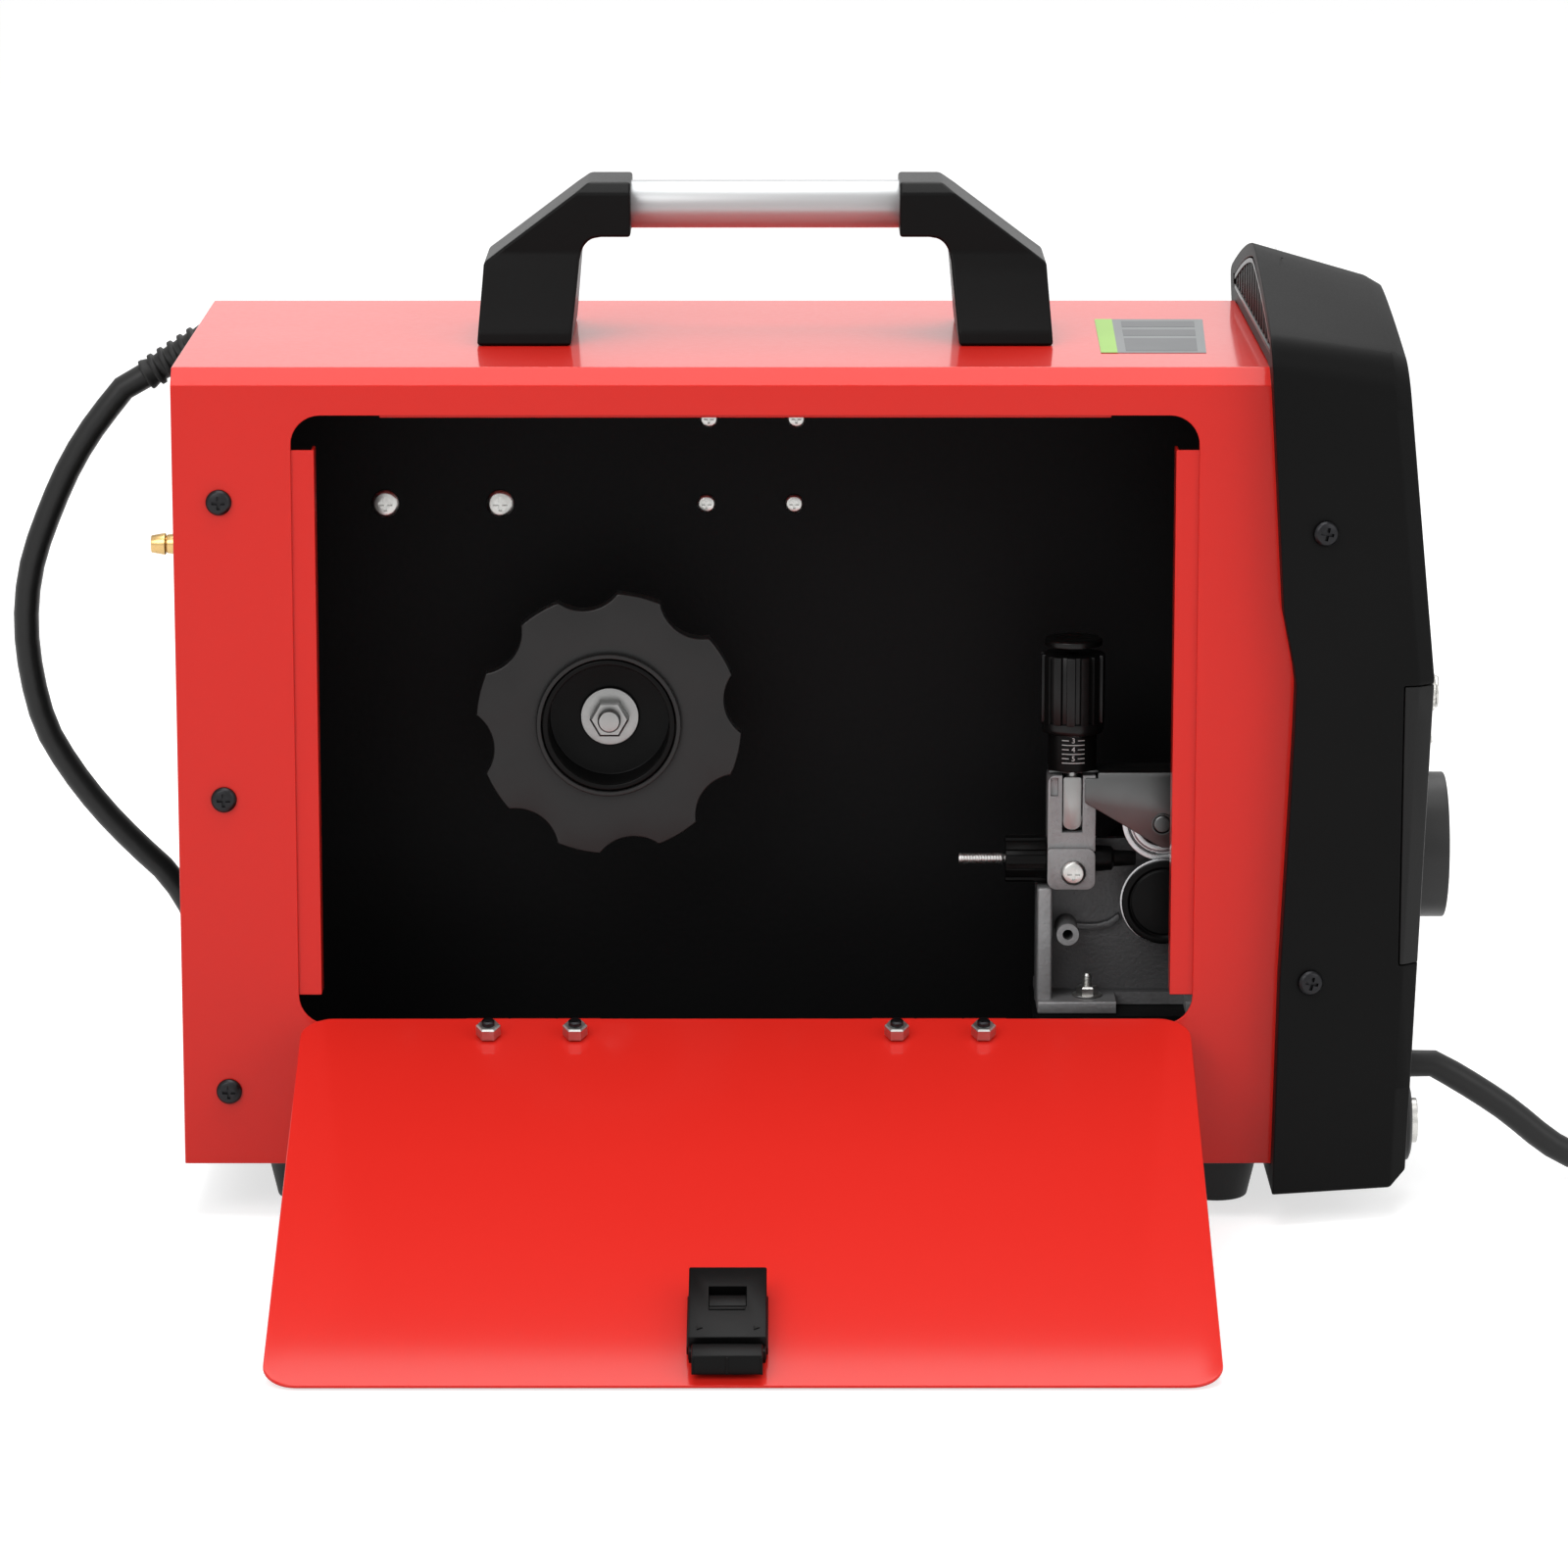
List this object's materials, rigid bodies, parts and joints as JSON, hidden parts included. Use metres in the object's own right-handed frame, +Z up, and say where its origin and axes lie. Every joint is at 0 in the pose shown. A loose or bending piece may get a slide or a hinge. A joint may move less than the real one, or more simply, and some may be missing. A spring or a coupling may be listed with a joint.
{
  "type": "mig welding machine",
  "caption": "Portable wire-feed welding machine: folded steel case with a lower-hinged side door, spool hub, wire feeder, angular front bezel, handle, rubber feet, mains cord and short lead.",
  "frame": {"origin": "floor under the middle of the machine with its door lying open, free cords left out", "axes": "+X towards the front bezel, +Y away from the door side, +Z up"},
  "size_m": [0.6715, 0.5705, 0.3791],
  "materials": {
    "red_paint": "gloss powder coat",
    "black_paint": "satin powder coat",
    "black_plastic": "fine texture",
    "dark_plastic": "satin",
    "smoked_window": "gloss",
    "rubber": "matte",
    "zinc": "zinc plated",
    "steel": "turned",
    "casting": "die cast",
    "aluminium": "extruded",
    "grip_tube": "brushed",
    "brass": "machined",
    "nickel": "nickel plated",
    "board_green": "lacquered board"
  },
  "bodies": {
    "case": {"base_pan": "black_paint", "case_cover": "red_paint", "control_insert": "black_plastic", "control_socket": "nickel", "cord_coil": "rubber", "display_window": "smoked_window", "divider_plate": "black_paint", "door_frame": "red_paint", "fan_frame": "black_plastic", "feeder_bolt_front": "zinc", "feeder_bolt_rear": "zinc", "feeder_bracket": "black_paint", "feeder_motor": "black_paint", "feeder_plate": "casting", "foot_front_far": "rubber", "foot_front_near": "rubber", "foot_rear_far": "rubber", "foot_rear_near": "rubber", "front_bezel": "black_plastic", "front_bulkhead": "black_paint", "gas_valve": "brass", "guide_nut": "black_plastic", "handle_leg_front": "black_plastic", "handle_leg_rear": "black_plastic", "handle_tube": "grip_tube", "heat_sink": "aluminium", "hinge_leaf_front": "red_paint", "hinge_leaf_rear": "red_paint", "inlet_guide": "zinc", "inverter_board": "board_green", "lead_grommet": "rubber", "mains_plug": "rubber", "output_socket_far": "nickel", "output_socket_near": "nickel", "polarity_lead": "rubber", "polarity_plug": "rubber", "power_cord": "rubber", "power_switch": "black_plastic", "rear_panel": "black_paint", "spool_shaft": "zinc", "strain_relief": "rubber", "torch_socket": "black_plastic"},
    "control_knob": {"control_knob": "nickel"},
    "door": {"door_leaf_front": "red_paint", "door_leaf_rear": "red_paint", "latch_body": "black_plastic", "side_door": "red_paint"},
    "drive_roller": {"drive_roller": "steel", "roller_cap": "black_plastic"},
    "fan": {"fan_rotor": "black_plastic"},
    "spool": {"hub_flange_nut": "dark_plastic", "spool_hub": "black_plastic"},
    "latch": {"latch_slide": "black_plastic"},
    "power_rocker": {"power_rocker": "black_plastic"},
    "pressure_arm": {"pressure_arm": "zinc"},
    "pressure_roller": {"pressure_roller": "steel"},
    "tension_lever": {"swing_bolt": "zinc"},
    "tension_barrel": {"tension_barrel": "black_plastic"},
    "tension_knob": {"tension_knob": "black_plastic"},
    "toggle": {"toggle_switch": "nickel"}
  },
  "joints": [
    {"name": "door_hinge", "type": "hinge", "parent": "case", "child": "door", "pos_m": [0.00405, 0.00131, 0.075], "axis": [1, 0, 0], "range_deg": [-109.8, 0]},
    {"name": "latch_slide", "type": "slide", "parent": "door", "child": "latch", "axis": [0, -0.9409, -0.3387], "range_m": [0, 0.01]},
    {"name": "spool_spin", "type": "hinge", "parent": "case", "child": "spool", "pos_m": [-0.06825, 0.10211, 0.178], "axis": [0, 1, 0], "continuous": true},
    {"name": "drive_roller_spin", "type": "hinge", "parent": "case", "child": "drive_roller", "pos_m": [0.14155, 0.06411, 0.109], "axis": [0, 1, 0], "continuous": true},
    {"name": "arm_lift", "type": "hinge", "parent": "case", "child": "pressure_arm", "pos_m": [0.16705, 0.06411, 0.147], "axis": [0, 1, 0], "range_deg": [0, 2.46], "stiffness_Nm_per_rad": 5, "springref_deg": -1.15},
    {"name": "pressure_roller_spin", "type": "hinge", "parent": "pressure_arm", "child": "pressure_roller", "pos_m": [0.14055, 0.06411, 0.1396], "axis": [0, 1, 0], "continuous": true},
    {"name": "tension_lever_swing", "type": "hinge", "parent": "case", "child": "tension_lever", "pos_m": [0.10655, 0.06211, 0.1405], "axis": [1, 0, 0], "range_deg": [0, 80]},
    {"name": "barrel_slide", "type": "slide", "parent": "tension_lever", "child": "tension_barrel", "axis": [0, 0, 1], "range_m": [0, 0.003]},
    {"name": "tension_knob_turn", "type": "hinge", "parent": "tension_lever", "child": "tension_knob", "pos_m": [0.10655, 0.06211, 0.174], "axis": [0, 0, 1], "range_deg": [-720, 720]},
    {"name": "fan_spin", "type": "hinge", "parent": "case", "child": "fan", "pos_m": [-0.22595, 0.15861, 0.105], "axis": [1, 0, 0], "continuous": true},
    {"name": "rocker_flip", "type": "hinge", "parent": "case", "child": "power_rocker", "pos_m": [-0.22145, 0.14711, 0.276], "axis": [0, 1, 0], "range_deg": [0, 16]},
    {"name": "control_knob_turn", "type": "hinge", "parent": "case", "child": "control_knob", "pos_m": [0.23705, 0.09411, 0.183], "axis": [1, 0, 0], "range_deg": [-135, 135]},
    {"name": "toggle_flip", "type": "hinge", "parent": "case", "child": "toggle", "pos_m": [0.23305, 0.09411, 0.1635], "axis": [0, 1, 0], "range_deg": [0, 20]}
  ],
  "couplings": [
    {"joint": "pressure_roller_spin", "follows": "drive_roller_spin", "ratio": -1},
    {"joint": "barrel_slide", "follows": "arm_lift", "m_per_rad": 0.0695}
  ]
}
